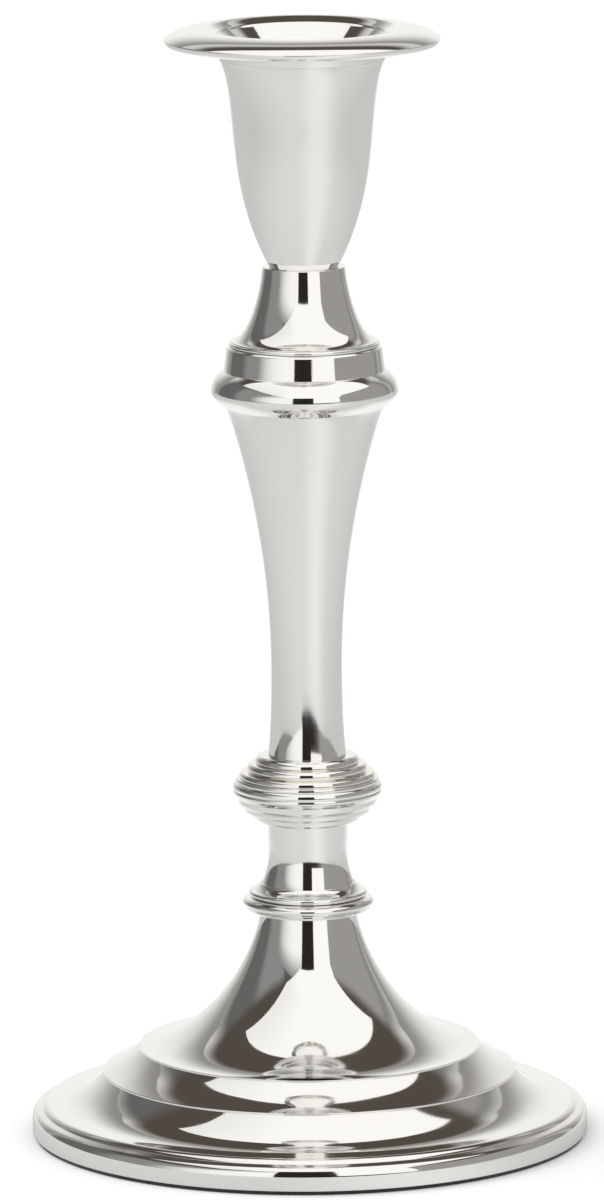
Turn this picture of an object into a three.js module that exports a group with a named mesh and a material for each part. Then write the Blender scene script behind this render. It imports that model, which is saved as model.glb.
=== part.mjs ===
// Table candlestick: turned and spun pieces stacked on one tie rod, with a loose drip pan in the cup.
// Millimetres, +Z up, origin on the axis at the underside of the felt pad.

import * as THREE from 'three';

// Faces around each turned piece, and steps along each curved stretch of an outline.
const roundFaces = 32;
const curveSteps = 6;
const stemSteps = 10;
const stemFootSteps = 4;
const trumpetSteps = 8;
const tierSteps = 5;
const innerTrumpetSteps = 4;
const innerTierSteps = 2;
const wideBeadSteps = 8;
const beadSteps = 6;
const ringSteps = 4;
const reedSteps = 2;
const ovoloSteps = 2;
const roundSteps = 2;
const neckSteps = 8;
const dishSteps = 3;
const nutSides = 6;
const nutBoreFaces = 12;

// Fits shared by pieces that meet.
const slipFit = 0.15;
const rodPlay = 0.3;
const recessRelief = 0.4;
const spigotRadius = 5;
const spigotLength = 2;

// Felt pad and base plate.
const feltThickness = 0.8;
const feltInset = 0.4;
const plateThickness = 1.2;

// Foot shell: upright rim with a rounded top, sloped ledge, fine bead, two stepped lips and a trumpet.
const rimRadius = 55.4;
const rimHeight = 4.57;
const rimRound = 1.1;
const rimWall = 1.6;
const ledgeWidth = 0.92;
const ledgeRise = 0.35;
const footBeadWidth = 1.23;
const footBeadRise = 0.94;
const lowerTierWidth = 11.05;
const upperTierWidth = 7.15;
const trumpetTopRadius = 9.65;
const lowerTierHeight = 6.34;
const upperTierHeight = 4.65;
const trumpetHeight = 27.05;
const lipDrop = 0.35;
const trumpetFullness = 1.69;
const footShift = 1.2;
const footWebThickness = 6;

// Slope of the tiers: knee and bend are shares of the width.
// Ease compares the slope past the knee with the slope before it.
const lowerTierSlope = { knee: 0.543, bend: 0.123, ease: 0.06 };
const upperTierSlope = { knee: 0.692, bend: 0.336, ease: 0.25 };

// Ballast ring inside the foot.
const weightPlay = 0.6;
const weightBore = 12;

// Foot ring: main bead with a smaller bead on it.
const footRingRadius = 13.1;
const footRingHeight = 3.35;
const footRingCapRadius = 11.45;
const footRingCapHeight = 1.25;
const footRingCore = 10.05;

// Lower neck.
const lowerNeckHeight = 13.5;
const lowerNeckFootRadius = 9.65;
const lowerNeckWaistRadius = 7.87;
const lowerNeckTopRadius = 8.03;
const lowerNeckWaistHeight = 8.25;

// Knop, counted upward: three ovolos that widen from its foot, then six reeds that narrow to the stem.
const knopFootRadius = 8.6;
const lowOvoloRadius = 10.4;
const lowOvoloHeight = 1.61;
const middleOvoloRadius = 12.55;
const middleOvoloHeight = 1.51;
const highOvoloRadius = 13.85;
const highOvoloHeight = 1.93;
const knopOvolos = [
  { radius: lowOvoloRadius, height: lowOvoloHeight },
  { radius: middleOvoloRadius, height: middleOvoloHeight },
  { radius: highOvoloRadius, height: highOvoloHeight },
];
const ovoloPullOut = 0.75;
const ovoloPullUp = 0.45;

// A reed is widest at its crest, and its face is equally round on every reed.
const firstReedRadius = 14.75;
const firstReedHeight = 1.77;
const firstReedCrest = 1.15;
const secondReedRadius = 14.8;
const secondReedHeight = 1.47;
const secondReedCrest = 0.38;
const thirdReedRadius = 14.2;
const thirdReedHeight = 0.75;
const thirdReedCrest = 0.21;
const fourthReedRadius = 13.5;
const fourthReedHeight = 1.26;
const fourthReedCrest = 0.31;
const fifthReedRadius = 11.9;
const fifthReedHeight = 1.75;
const fifthReedCrest = 0.65;
const sixthReedRadius = 10.3;
const sixthReedHeight = 1.63;
const sixthReedCrest = 0.3;
const knopReeds = [
  { radius: firstReedRadius, height: firstReedHeight, crest: firstReedCrest },
  { radius: secondReedRadius, height: secondReedHeight, crest: secondReedCrest },
  { radius: thirdReedRadius, height: thirdReedHeight, crest: thirdReedCrest },
  { radius: fourthReedRadius, height: fourthReedHeight, crest: fourthReedCrest },
  { radius: fifthReedRadius, height: fifthReedHeight, crest: fifthReedCrest },
  { radius: sixthReedRadius, height: sixthReedHeight, crest: sixthReedCrest },
];
const reedRoundness = 1.5;

// Stem: baluster with a waist near its foot.
const stemHeight = 70;
const stemFootRadius = 7.8;
const stemWaistRadius = 7.06;
const stemTopRadius = 15.48;
const stemWaistHeight = 17.55;
const stemFootPull = 6;
const stemWaistPull = 17.2;
const stemTopPull = 17.8;
const stemFlare = 0.319;
const stemWall = 1.5;
const stemTopLip = 2.35;

// Shoulder bead, collar band and collar ring.
const shoulderHeight = 7.27;
const shoulderEquator = 3.27;
const shoulderRadius = 18.5;
const bandHeight = 4.88;
const bandFootRadius = 15.95;
const bandTopRadius = 15.42;
const bandEdge = 0.4;
const collarRingRadius = 14.98;
const collarRingHeight = 0.85;

// Neck under the cup: the pulls bend its curve nearly level at the foot and upright at the top.
const neckHeight = 14.9;
const neckFootRadius = 14.5;
const neckFootEdge = 0.15;
const neckFootPullIn = 3.3;
const neckFootPullUp = 0.32;
const neckTopRadius = 8.2;
const neckTopPullOut = 0.55;
const neckTopPullDown = 6.08;

// Candle cup: room for the sleeve inside, with pulls that round it in at the foot and out at the lip.
const cupHeight = 41.3;
const cupFootRadius = 6.89;
const cupFootPullOut = 3.97;
const cupFootPullUp = 7.39;
const cupPlay = 0.5;
const cupFootRoom = 0.05;
const cupBodyPull = 7;
const cupBodyLean = 0.105;
const cupLipFlare = 3.05;
const cupLipPullIn = 1.95;
const cupLipPullDown = 2.67;
const cupWall = 1.1;
const cupFloor = 4.2;

// Drip pan on the cup's lip: domed flange with a turned-under edge, dipping to the mouth.
const panRadius = 27.25;
const panHeight = 6.02;
const panCrestInset = 6.65;
const panCrestPull = 2.2;
const panEdgeDrop = 2.1;
const panEdgePull = 0.5;
const panRollWidth = 1.35;
const panRollDepth = 1.4;
const panSheet = 1.3;
const panNeckInset = 0.15;
const panNeckWall = 0.6;
const mouthFlare = 5.9;
const mouthDrop = 0.8;
const dishPull = 1.2;
const dishSlope = 0.25;

// Candle sleeve soldered into the pan.
const candleDiameter = 22;
const candlePlay = 0.1;
const sleeveWall = 0.8;
const sleeveDepth = 19;
const sleeveFlangeWidth = 1;
const sleeveFlangeHeight = 0.8;
const sleeveLedge = 0.8;

// Tie rod and its fasteners.
const rodRadius = 3;
const rodOverrun = 1.2;
const washerRadius = 6;
const washerThickness = 1.2;
const nutAcrossFlats = 10;
const nutHeight = 5;

// Heights of the joints in the stack.
const footSeat = feltThickness;
const plateTop = footSeat + plateThickness;
const rimTop = footSeat + rimHeight;
const ledgeTop = rimTop + ledgeRise;
const tierFoot = ledgeTop + footBeadRise;
const lowerLip = tierFoot + lowerTierHeight;
const upperLip = lowerLip + upperTierHeight + lipDrop;
const footTop = upperLip + trumpetHeight;
const footWeb = footTop - footWebThickness;
const footRingTop = footTop + footRingHeight + footRingCapHeight;
const lowerNeckTop = footRingTop + lowerNeckHeight;
const knopTop = [...knopOvolos, ...knopReeds].reduce((height, ring) => height + ring.height, lowerNeckTop);
const stemTop = knopTop + stemHeight;
const shoulderTop = stemTop + shoulderHeight;
const bandTop = shoulderTop + bandHeight;
const collarTop = bandTop + collarRingHeight;
const neckTop = collarTop + neckHeight;
const cupFloorTop = neckTop + cupFloor;
const cupTop = neckTop + cupHeight;

// Bores and recesses that follow from the pieces that go into them.
const rodBore = rodRadius + rodPlay;
const recessRadius = spigotRadius + slipFit;
const recessDepth = spigotLength + recessRelief;
const stemBore = stemWaistRadius - stemWall;
const stemTopBore = stemTopRadius - stemTopLip;
const sleeveBore = candleDiameter / 2 + candlePlay;
const sleeveRadius = sleeveBore + sleeveWall;
const sleeveDrop = sleeveDepth + sleeveWall - sleeveLedge - sleeveFlangeHeight;
const mouthRadius = sleeveBore + mouthFlare;
const cupBodyRadius = sleeveRadius + cupPlay + cupWall;
const cupBodyHeight = cupHeight - sleeveDrop - cupFootRoom;
const cupLipRadius = cupBodyRadius + cupLipFlare;

// Materials.
function metal(colour, roughness) {
  return new THREE.MeshStandardMaterial({ color: colour, roughness, metalness: 1 });
}

const silver = 0xe6e3dd;
const innerSteel = 0x9a9da0;
const castIron = 0x4a4a4c;
const polishedRoughness = 0.08;
const steelRoughness = 0.4;
const castRoughness = 0.7;
const feltMaterial = new THREE.MeshStandardMaterial({ color: 0x17171a, roughness: 0.95, metalness: 0 });

// Outline helpers: a point is (radius, height).
function at(radius, height) {
  return new THREE.Vector2(radius, height);
}

function moved(points, outward, upward) {
  return points.map((point) => at(point.x + outward, point.y + upward));
}

// Concave flare that leaves its start upright and comes to its end level; a higher fullness hollows it more.
function flare(start, end, fullness, steps, fromAngle = 0) {
  const points = [];
  const power = 2 / fullness;
  for (let step = 0; step <= steps; step += 1) {
    const angle = fromAngle + ((Math.PI / 2 - fromAngle) * step) / steps;
    const across = Math.cos(angle) ** power;
    const down = Math.sin(angle) ** power;
    points.push(at(end.x - (end.x - start.x) * across, start.y - (start.y - end.y) * down));
  }
  points[steps].copy(end);
  return points;
}

// Quarter-round from a level or upright start to its end, with the bulge on the corner between them.
function quarter(start, corner, end, steps) {
  const points = [];
  for (let step = 0; step <= steps; step += 1) {
    const angle = ((Math.PI / 2) * step) / steps;
    const fromEnd = 1 - Math.sin(angle);
    const fromStart = 1 - Math.cos(angle);
    points.push(at(
      corner.x + (start.x - corner.x) * fromEnd + (end.x - corner.x) * fromStart,
      corner.y + (start.y - corner.y) * fromEnd + (end.y - corner.y) * fromStart,
    ));
  }
  return points;
}

// Half-round that bulges out to a radius at its equator, between a lower and an upper point.
function bulge(low, high, outerRadius, equator, steps) {
  const widest = at(outerRadius, equator);
  const half = Math.round(steps / 2);
  return [
    ...quarter(low, at(outerRadius, low.y), widest, half),
    ...quarter(widest, at(outerRadius, high.y), high, half).slice(1),
  ];
}

function bead(coreRadius, outerRadius, low, high, steps = beadSteps) {
  return bulge(at(coreRadius, low), at(coreRadius, high), outerRadius, (low + high) / 2, steps);
}

function bezier(start, startPull, endPull, end, steps = curveSteps) {
  return new THREE.CubicBezierCurve(start, startPull, endPull, end).getPoints(steps);
}

// Closed outline of a stacked piece: spigot below, outer surface going up, recess above.
function stackedOutline(outer, spigotReach = spigotLength) {
  const foot = outer[0].y;
  const top = outer[outer.length - 1].y;
  return [
    at(rodBore, foot - spigotReach),
    at(spigotRadius, foot - spigotReach),
    at(spigotRadius, foot),
    ...outer,
    at(recessRadius, top),
    at(recessRadius, top - recessDepth),
    at(rodBore, top - recessDepth),
  ];
}

// Turned pieces: an outline off the axis closes on itself, one on the axis starts and ends there.
function turned(name, outline, material) {
  const points = [...outline];
  if (points[0].x > 0) {
    points.push(points[0].clone());
  }
  const geometry = new THREE.LatheGeometry(points, roundFaces);
  geometry.rotateX(Math.PI / 2);
  const mesh = new THREE.Mesh(geometry, material);
  mesh.name = name;
  return mesh;
}

function disc(name, radius, low, high, material) {
  return turned(name, [at(0, low), at(radius, low), at(radius, high), at(0, high)], material);
}

function washer(name, low, material) {
  const high = low + washerThickness;
  const outline = [at(rodBore, low), at(washerRadius, low), at(washerRadius, high), at(rodBore, high)];
  return turned(name, outline, material);
}

function hexNut(name, low, material) {
  const corner = nutAcrossFlats / 2 / Math.cos(Math.PI / nutSides);
  const shape = new THREE.Shape();
  for (let side = 0; side < nutSides; side += 1) {
    const angle = (Math.PI * 2 * side) / nutSides;
    const x = corner * Math.cos(angle);
    const y = corner * Math.sin(angle);
    if (side === 0) {
      shape.moveTo(x, y);
    } else {
      shape.lineTo(x, y);
    }
  }
  shape.closePath();
  const bore = new THREE.Path();
  bore.absarc(0, 0, rodBore, 0, Math.PI * 2, true);
  shape.holes.push(bore);
  const extrusion = { depth: nutHeight, bevelEnabled: false, curveSegments: nutBoreFaces };
  const geometry = new THREE.ExtrudeGeometry(shape, extrusion);
  const mesh = new THREE.Mesh(geometry, material);
  mesh.name = name;
  mesh.position.z = low;
  return mesh;
}

// Foot shell.
const rimInnerRadius = rimRadius - rimWall;
const ledgeOuter = rimRadius - rimRound;
const footBeadOuter = ledgeOuter - ledgeWidth;
const tierFootRadius = footBeadOuter - footBeadWidth;
const lowerLipRadius = tierFootRadius - lowerTierWidth;
const upperLipRadius = lowerLipRadius - upperTierWidth;
const trumpetStart = at(trumpetTopRadius, footTop);
const trumpetEnd = at(upperLipRadius, upperLip);

// A tier falls steeply from its lip and eases to a gentle slope past its knee.
function tier(start, end, slope, steps) {
  const fall = (share) => {
    const eased = slope.bend * Math.log1p(Math.exp((share - slope.knee) / slope.bend));
    return share - (1 - slope.ease) * eased;
  };
  const whole = fall(1) - fall(0);
  const points = [];
  for (let step = 0; step <= steps; step += 1) {
    const share = step / steps;
    const fallen = (fall(share) - fall(0)) / whole;
    points.push(at(start.x + (end.x - start.x) * share, start.y + (end.y - start.y) * fallen));
  }
  return points;
}

function lowerTier(steps) {
  return tier(at(lowerLipRadius, lowerLip - lipDrop), at(tierFootRadius, tierFoot), lowerTierSlope, steps);
}

function upperTier(steps) {
  return tier(at(upperLipRadius, upperLip - lipDrop), at(lowerLipRadius, lowerLip), upperTierSlope, steps);
}

function footShell() {
  const rimShoulder = at(rimRadius, rimTop - rimRound);
  const outside = [
    at(rimRadius, footSeat),
    ...quarter(rimShoulder, at(rimRadius, rimTop), at(ledgeOuter, rimTop), roundSteps),
    ...quarter(
      at(footBeadOuter, ledgeTop),
      at(footBeadOuter, tierFoot),
      at(tierFootRadius, tierFoot),
      roundSteps,
    ),
    ...lowerTier(tierSteps).toReversed().slice(1),
    ...upperTier(tierSteps).toReversed(),
    ...flare(trumpetStart, trumpetEnd, trumpetFullness, trumpetSteps).toReversed(),
  ];
  // The inner skin is the outer one moved in and down, and stops at the web.
  const webShare = (footWebThickness - footShift) / trumpetHeight;
  const webAngle = Math.asin(webShare ** (trumpetFullness / 2));
  const innerTrumpet = flare(trumpetStart, trumpetEnd, trumpetFullness, innerTrumpetSteps, webAngle);
  const inside = [
    at(recessRadius, footTop),
    at(recessRadius, footTop - recessDepth),
    at(rodBore, footTop - recessDepth),
    at(rodBore, footWeb),
    ...moved(innerTrumpet, -footShift, -footShift),
    ...moved(upperTier(innerTierSteps), -footShift, -footShift),
    ...moved(lowerTier(innerTierSteps), -footShift, -footShift),
    at(rimInnerRadius, rimTop - rimWall),
    at(rimInnerRadius, footSeat),
  ];
  return turned('foot_shell', [...outside, ...inside], metal(silver, polishedRoughness));
}

// Ballast ring: its top follows the two tiers of the shell with play.
function footWeight() {
  const drop = -footShift - weightPlay;
  const top = [
    ...moved(lowerTier(innerTierSteps), drop, drop).toReversed(),
    ...moved(upperTier(innerTierSteps), drop, drop).toReversed(),
  ];
  const outline = [
    at(weightBore, plateTop),
    at(top[0].x, plateTop),
    ...top,
    at(weightBore, top[top.length - 1].y),
  ];
  return turned('foot_weight', outline, metal(castIron, castRoughness));
}

function footRing() {
  const shoulder = footTop + footRingHeight;
  const outer = [
    ...bead(footRingCore, footRingRadius, footTop, shoulder),
    ...bead(footRingCore, footRingCapRadius, shoulder, footRingTop, ringSteps).slice(1),
  ];
  return turned('foot_ring', stackedOutline(outer), metal(silver, polishedRoughness));
}

function lowerNeck() {
  const waist = at(lowerNeckWaistRadius, footRingTop + lowerNeckWaistHeight);
  const below = lowerNeckWaistHeight / 2;
  const outer = [
    ...bezier(
      at(lowerNeckFootRadius, footRingTop),
      at((lowerNeckFootRadius + lowerNeckWaistRadius) / 2, footRingTop + below / 2),
      at(waist.x, waist.y - below),
      waist,
    ),
    at(lowerNeckTopRadius, lowerNeckTop),
  ];
  return turned('lower_neck', stackedOutline(outer), metal(silver, polishedRoughness));
}

function knop() {
  const outer = [at(knopFootRadius, lowerNeckTop)];
  let low = lowerNeckTop;
  for (const ovolo of knopOvolos) {
    const start = outer[outer.length - 1];
    const end = at(ovolo.radius, low + ovolo.height);
    const pull = at(start.x + (end.x - start.x) * ovoloPullOut, start.y + (end.y - start.y) * ovoloPullUp);
    outer.push(...new THREE.QuadraticBezierCurve(start, pull, end).getPoints(ovoloSteps).slice(1));
    low = end.y;
  }
  // The first reed springs from the last ovolo, the others from the ledge under them.
  outer.pop();
  for (const reed of knopReeds) {
    const crest = at(reed.radius, low + reed.crest);
    const high = low + reed.height;
    const foot = at(reed.radius - reed.crest ** 2 / reedRoundness, low);
    const top = at(reed.radius - (high - crest.y) ** 2 / reedRoundness, high);
    outer.push(
      ...quarter(foot, at(crest.x, low), crest, reedSteps),
      ...quarter(crest, at(crest.x, high), top, reedSteps).slice(1),
    );
    low = high;
  }
  const stemSpigot = stemBore - slipFit;
  const outline = [
    at(rodBore, lowerNeckTop - spigotLength),
    at(spigotRadius, lowerNeckTop - spigotLength),
    at(spigotRadius, lowerNeckTop),
    ...outer,
    at(stemFootRadius, knopTop),
    at(stemSpigot, knopTop),
    at(stemSpigot, knopTop + spigotLength),
    at(rodBore, knopTop + spigotLength),
  ];
  return turned('knop', outline, metal(silver, polishedRoughness));
}

function stem() {
  const waist = at(stemWaistRadius, knopTop + stemWaistHeight);
  const belowWaist = new THREE.QuadraticBezierCurve(
    at(stemFootRadius, knopTop),
    at(stemWaistRadius, knopTop + stemFootPull),
    waist,
  );
  const aboveWaist = bezier(
    waist,
    at(waist.x, waist.y + stemWaistPull),
    at(stemTopRadius - stemFlare * stemTopPull, stemTop - stemTopPull),
    at(stemTopRadius, stemTop),
    stemSteps,
  );
  const topRecess = stemTop - recessDepth;
  const innerWall = moved(aboveWaist, -stemWall, 0).filter((point) => point.y < topRecess);
  const outline = [
    at(stemBore, knopTop),
    ...belowWaist.getPoints(stemFootSteps),
    ...aboveWaist.slice(1),
    at(stemTopBore, stemTop),
    at(stemTopBore, topRecess),
    ...innerWall.toReversed(),
  ];
  return turned('stem', outline, metal(silver, polishedRoughness));
}

function shoulderBead() {
  const topSpigot = stemTopBore - slipFit;
  const low = at(stemTopRadius, stemTop);
  const high = at(bandFootRadius, shoulderTop);
  const outline = [
    at(rodBore, stemTop - spigotLength),
    at(topSpigot, stemTop - spigotLength),
    at(topSpigot, stemTop),
    ...bulge(low, high, shoulderRadius, stemTop + shoulderEquator, wideBeadSteps),
    at(recessRadius, shoulderTop),
    at(recessRadius, shoulderTop - recessDepth),
    at(rodBore, shoulderTop - recessDepth),
  ];
  return turned('shoulder_bead', outline, metal(silver, polishedRoughness));
}

function collarBand() {
  const outer = [
    at(bandFootRadius, shoulderTop),
    at(bandTopRadius, bandTop - bandEdge),
    at(bandTopRadius - bandEdge, bandTop),
  ];
  return turned('collar_band', stackedOutline(outer), metal(silver, polishedRoughness));
}

// Thin disc with a rounded edge, held between band and neck and centred on the neck's spigot.
function collarRing() {
  const edge = collarRingHeight / 2;
  const outline = [
    at(recessRadius, bandTop),
    ...bead(collarRingRadius - edge, collarRingRadius, bandTop, collarTop, ringSteps),
    at(recessRadius, collarTop),
  ];
  return turned('collar_ring', outline, metal(silver, polishedRoughness));
}

function neck() {
  const edge = collarTop + neckFootEdge;
  const outer = [
    at(neckFootRadius, collarTop),
    ...bezier(
      at(neckFootRadius, edge),
      at(neckFootRadius - neckFootPullIn, edge + neckFootPullUp),
      at(neckTopRadius + neckTopPullOut, neckTop - neckTopPullDown),
      at(neckTopRadius, neckTop),
      neckSteps,
    ),
  ];
  const spigotReach = collarRingHeight + spigotLength;
  return turned('neck', stackedOutline(outer, spigotReach), metal(silver, polishedRoughness));
}

function candleCup() {
  const body = at(cupBodyRadius, neckTop + cupBodyHeight);
  const lower = bezier(
    at(cupFootRadius, neckTop),
    at(cupFootRadius + cupFootPullOut, neckTop + cupFootPullUp),
    at(body.x - cupBodyLean * cupBodyPull, body.y - cupBodyPull),
    body,
  );
  const upper = bezier(
    body,
    at(body.x + cupBodyLean * cupBodyPull, body.y + cupBodyPull),
    at(cupLipRadius - cupLipPullIn, cupTop - cupLipPullDown),
    at(cupLipRadius, cupTop),
  );
  const outside = [...lower, ...upper.slice(1)];
  const inside = moved(outside, -cupWall, 0).filter((point) => point.y > cupFloorTop);
  const outline = [
    at(rodBore, neckTop - spigotLength),
    at(spigotRadius, neckTop - spigotLength),
    at(spigotRadius, neckTop),
    ...outside,
    ...inside.toReversed(),
    at(inside[0].x, cupFloorTop),
    at(rodBore, cupFloorTop),
  ];
  return turned('candle_cup', outline, metal(silver, polishedRoughness));
}

// Drip pan: seat on the cup's lip, domed sheet with a turned-under edge, mouth flaring out of the sleeve.
function dripPan() {
  const seat = cupTop;
  const crest = at(panRadius - panCrestInset, seat + panHeight);
  const mouth = at(mouthRadius, crest.y - mouthDrop);
  const edge = at(panRadius, crest.y - panEdgeDrop);
  const roll = at(panRadius - panRollWidth, edge.y - panRollDepth);
  const underside = mouth.y - panSheet;
  const ledge = seat + sleeveLedge;
  const flangeRadius = sleeveRadius + sleeveFlangeWidth + slipFit;
  const outline = [
    at(sleeveRadius + slipFit, seat),
    at(cupLipRadius - panNeckInset, seat),
    at(mouthRadius + panNeckWall, underside),
    at(roll.x - panSheet, underside),
    ...quarter(roll, at(edge.x, roll.y), edge, roundSteps),
    ...bezier(edge, at(edge.x, edge.y + panEdgePull), at(crest.x + panCrestPull, crest.y), crest).slice(1),
    ...bezier(
      crest,
      at(crest.x - dishPull, crest.y),
      at(mouth.x + dishPull, mouth.y + dishSlope * dishPull),
      mouth,
      dishSteps,
    ).slice(1),
    at(flangeRadius, ledge + sleeveFlangeHeight),
    at(flangeRadius, ledge),
    at(sleeveRadius + slipFit, ledge),
  ];
  return turned('drip_pan', outline, metal(silver, polishedRoughness));
}

function candleSleeve() {
  const ledge = cupTop + sleeveLedge;
  const top = ledge + sleeveFlangeHeight;
  const floorTop = top - sleeveDepth;
  const outline = [
    at(0, floorTop - sleeveWall),
    at(sleeveRadius, floorTop - sleeveWall),
    at(sleeveRadius, ledge),
    at(sleeveRadius + sleeveFlangeWidth, ledge),
    at(sleeveRadius + sleeveFlangeWidth, top),
    at(sleeveBore, top),
    at(sleeveBore, floorTop),
    at(0, floorTop),
  ];
  return turned('candle_sleeve', outline, metal(silver, polishedRoughness));
}

const footWasherLow = footWeb - washerThickness;
const footNutLow = footWasherLow - nutHeight;
const cupNutLow = cupFloorTop + washerThickness;
const rodLow = footNutLow - rodOverrun;
const rodHigh = cupNutLow + nutHeight + rodOverrun;

const standing = new THREE.Group();
standing.add(
  disc('felt_pad', rimRadius - feltInset, 0, feltThickness, feltMaterial),
  disc('base_plate', rimInnerRadius - slipFit, footSeat, plateTop, metal(innerSteel, steelRoughness)),
  footWeight(),
  footShell(),
  footRing(),
  lowerNeck(),
  knop(),
  stem(),
  shoulderBead(),
  collarBand(),
  collarRing(),
  neck(),
  candleCup(),
  disc('tie_rod', rodRadius, rodLow, rodHigh, metal(innerSteel, steelRoughness)),
  washer('foot_washer', footWasherLow, metal(innerSteel, steelRoughness)),
  hexNut('foot_nut', footNutLow, metal(innerSteel, steelRoughness)),
  washer('cup_washer', cupFloorTop, metal(innerSteel, steelRoughness)),
  hexNut('cup_nut', cupNutLow, metal(innerSteel, steelRoughness)),
);

const nozzle = new THREE.Group();
nozzle.add(dripPan(), candleSleeve());

const candlestick = new THREE.Group();
candlestick.add(standing, nozzle);

export default candlestick;
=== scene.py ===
import math
import bpy
from mathutils import Matrix, Vector


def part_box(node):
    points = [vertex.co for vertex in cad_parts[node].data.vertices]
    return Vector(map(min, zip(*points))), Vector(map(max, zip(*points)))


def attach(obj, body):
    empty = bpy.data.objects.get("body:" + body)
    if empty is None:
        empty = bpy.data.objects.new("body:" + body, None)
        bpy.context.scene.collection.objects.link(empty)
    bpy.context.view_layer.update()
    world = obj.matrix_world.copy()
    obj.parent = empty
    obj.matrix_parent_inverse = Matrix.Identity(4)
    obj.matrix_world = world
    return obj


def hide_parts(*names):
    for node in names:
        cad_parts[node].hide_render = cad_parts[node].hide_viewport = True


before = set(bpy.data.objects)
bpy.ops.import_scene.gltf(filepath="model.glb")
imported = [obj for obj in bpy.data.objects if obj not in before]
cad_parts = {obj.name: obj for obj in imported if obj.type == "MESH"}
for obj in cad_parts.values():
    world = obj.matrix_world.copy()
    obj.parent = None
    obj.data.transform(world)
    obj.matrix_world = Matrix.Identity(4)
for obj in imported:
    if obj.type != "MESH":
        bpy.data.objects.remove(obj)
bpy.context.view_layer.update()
scene = bpy.context.scene
scene.view_settings.view_transform = "Standard"
mm = 0.001
tiny = 1e-6
white = (1, 1, 1, 1)
print("frame loaded with", len(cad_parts), "nodes")


def addObject(name, data):
    thing = bpy.data.objects.new(name, data)
    scene.collection.objects.link(thing)
    return thing


# camera: at the photograph's viewing angle, looking slightly down at the foot
cameraPlace = {
    "distance": 2.00415,
    "height": 0.47486,
    "aimDown": 10.378,   # degrees below level
    "aimLeft": 0.0232,   # degrees, puts the axis right of the middle
    "roll": -0.42,
    "lens": 308.5,
    "sensor": 36.0,
    "sight": 100.0,   # metres
}


def placeCamera(s):
    lensData = bpy.data.cameras.new("camera")
    lensData.sensor_fit = "VERTICAL"
    lensData.sensor_height = s["sensor"]
    lensData.lens = s["lens"]
    lensData.clip_end = s["sight"]
    camera = addObject("camera", lensData)
    turn = Matrix.Rotation(math.radians(s["aimLeft"]), 4, "Z")
    tip = Matrix.Rotation(math.radians(90 - s["aimDown"]), 4, "X")
    lean = Matrix.Rotation(math.radians(s["roll"]), 4, "Z")
    spot = Matrix.Translation((0, -s["distance"], s["height"]))
    camera.matrix_world = spot @ turn @ tip @ lean
    scene.camera = camera


placeCamera(cameraPlace)
print("camera placed")


# node helpers
def addNode(tree, kind, inputs=None, **settings):
    node = tree.nodes.new(kind)
    for key, value in settings.items():
        setattr(node, key, value)
    for key, value in (inputs or {}).items():
        if isinstance(value, bpy.types.NodeSocket):
            tree.links.new(value, node.inputs[key])
        else:
            node.inputs[key].default_value = value
    return node


def calc(tree, operation, first, second=None, clamp=False):
    values = {0: first}
    if second is not None:
        values[1] = second
    node = addNode(tree, "ShaderNodeMath", values, operation=operation, use_clamp=clamp)
    return node.outputs[0]


def ramp(tree, value, low, high, fromValue=0.0, toValue=1.0):
    values = {"Value": value, "From Min": low, "From Max": high, "To Min": fromValue, "To Max": toValue}
    return addNode(tree, "ShaderNodeMapRange", values, interpolation_type="SMOOTHSTEP").outputs[0]


def mixColour(tree, factor, first, second):
    values = {0: factor, 6: first, 7: second}
    return addNode(tree, "ShaderNodeMix", values, data_type="RGBA").outputs[2]


def mixShader(tree, factor, first, second):
    return addNode(tree, "ShaderNodeMixShader", {0: factor, 1: first, 2: second}).outputs[0]


def spotOf(tree, kind="Object"):
    return addNode(tree, "ShaderNodeTexCoord").outputs[kind]


def splitAxes(tree, spot):
    return addNode(tree, "ShaderNodeSeparateXYZ", {0: spot}).outputs


def degreesFromFront(tree, axes):
    return calc(tree, "DEGREES", calc(tree, "ARCTAN2", axes[0], calc(tree, "MULTIPLY", axes[1], -1)))


def noise(tree, spot, scale, detail, roughness=0.5, distortion=0.0):
    values = {"Vector": spot, "Scale": scale, "Detail": detail, "Roughness": roughness,
              "Distortion": distortion}
    return addNode(tree, "ShaderNodeTexNoise", values).outputs[0]


def stretched(tree, spot, turn, stretch):
    values = {"Vector": spot, "Rotation": turn, "Scale": stretch}
    return addNode(tree, "ShaderNodeMapping", values).outputs[0]


def bumped(tree, height, strength, depth, under=None):
    values = {"Height": height, "Strength": strength, "Distance": depth}
    if under is not None:
        values["Normal"] = under
    return addNode(tree, "ShaderNodeBump", values).outputs[0]


def glowing(tree, colour, strength):
    return addNode(tree, "ShaderNodeEmission", {"Color": colour, "Strength": strength}).outputs[0]


def startMaterial(name):
    material = bpy.data.materials.new(name)
    material.use_nodes = True
    material.node_tree.nodes.clear()
    return material, material.node_tree


def endMaterial(tree, surface):
    addNode(tree, "ShaderNodeOutputMaterial", {"Surface": surface})


def newGroup(name, inputs, outputs):
    group = bpy.data.node_groups.new(name, "ShaderNodeTree")
    for socketName, kind, value in inputs:
        socket = group.interface.new_socket(socketName, in_out="INPUT", socket_type=kind)
        socket.default_value = value
    for socketName, kind in outputs:
        group.interface.new_socket(socketName, in_out="OUTPUT", socket_type=kind)
    return group, addNode(group, "NodeGroupInput").outputs, addNode(group, "NodeGroupOutput").inputs


def placeGroup(tree, group, inputs):
    return addNode(tree, "ShaderNodeGroup", inputs, node_tree=group).outputs


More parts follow.
